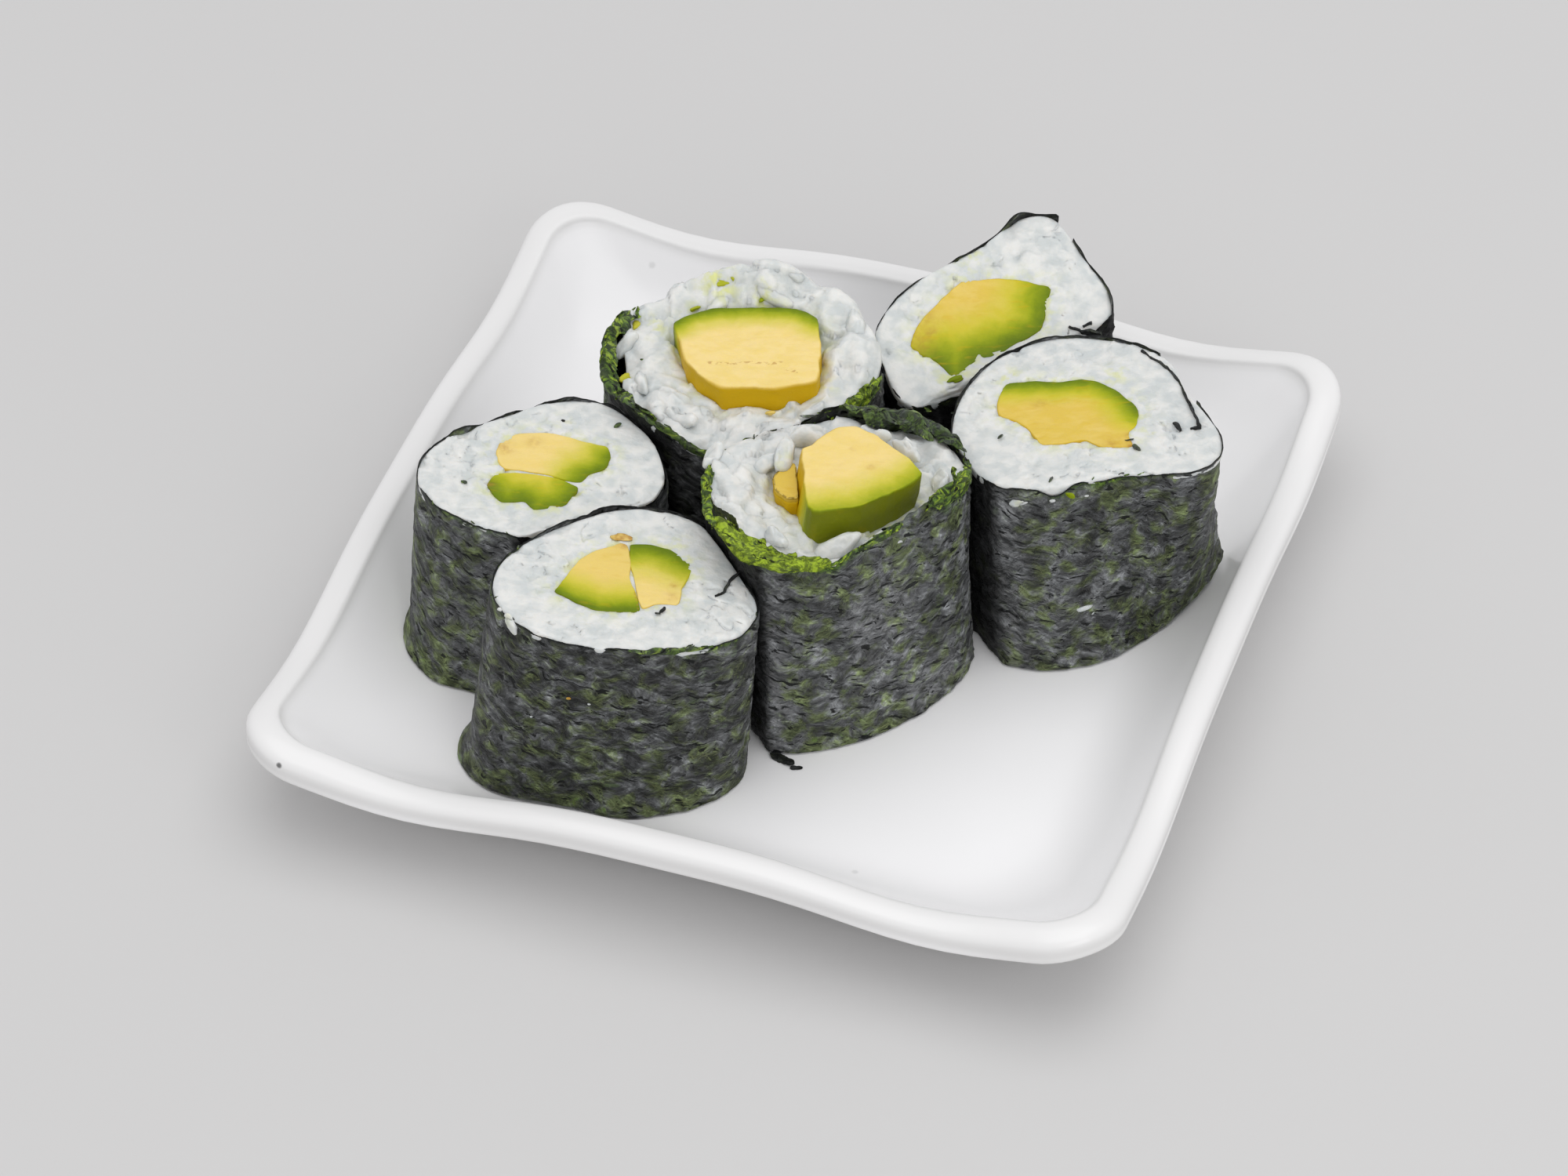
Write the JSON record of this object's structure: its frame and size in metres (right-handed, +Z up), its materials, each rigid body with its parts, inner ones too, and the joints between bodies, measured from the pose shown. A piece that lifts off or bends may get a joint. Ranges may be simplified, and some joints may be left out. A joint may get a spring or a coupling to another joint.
{
  "type": "maki sushi roll",
  "caption": "Square white dish holding cut pieces of seaweed-wrapped rice roll filled with avocado.",
  "frame": {"origin": "on the table under the middle of the dish, the centre of the bottom of the bounding box", "axes": "+Z up; +X and +Y along the dish's sides, -Y the side nearest the viewer, with most of the free floor of the dish at +X, -Y"},
  "size_m": [0.127, 0.127, 0.0438],
  "materials": {
    "plate": "glossy white moulded melamine",
    "nori": "crinkled seaweed sheet, moist and slightly glossy",
    "rice": "cooked rice, moist, slightly translucent",
    "avocado": "soft ripe fruit, yellow to green at the skin side"
  },
  "bodies": {
    "root": {"plate": "plate", "nori_1": "nori", "nori_2": "nori", "nori_3": "nori", "nori_4": "nori", "nori_5": "nori", "nori_6": "nori", "rice_1": "rice", "rice_2": "rice", "rice_3": "rice", "rice_4": "rice", "rice_5": "rice", "rice_6": "rice", "avocado_1": "avocado", "avocado_2a": "avocado", "avocado_2b": "avocado", "avocado_3a": "avocado", "avocado_3b": "avocado", "avocado_4a": "avocado", "avocado_4b": "avocado", "avocado_5": "avocado", "avocado_6": "avocado"}
  },
  "joints": []
}
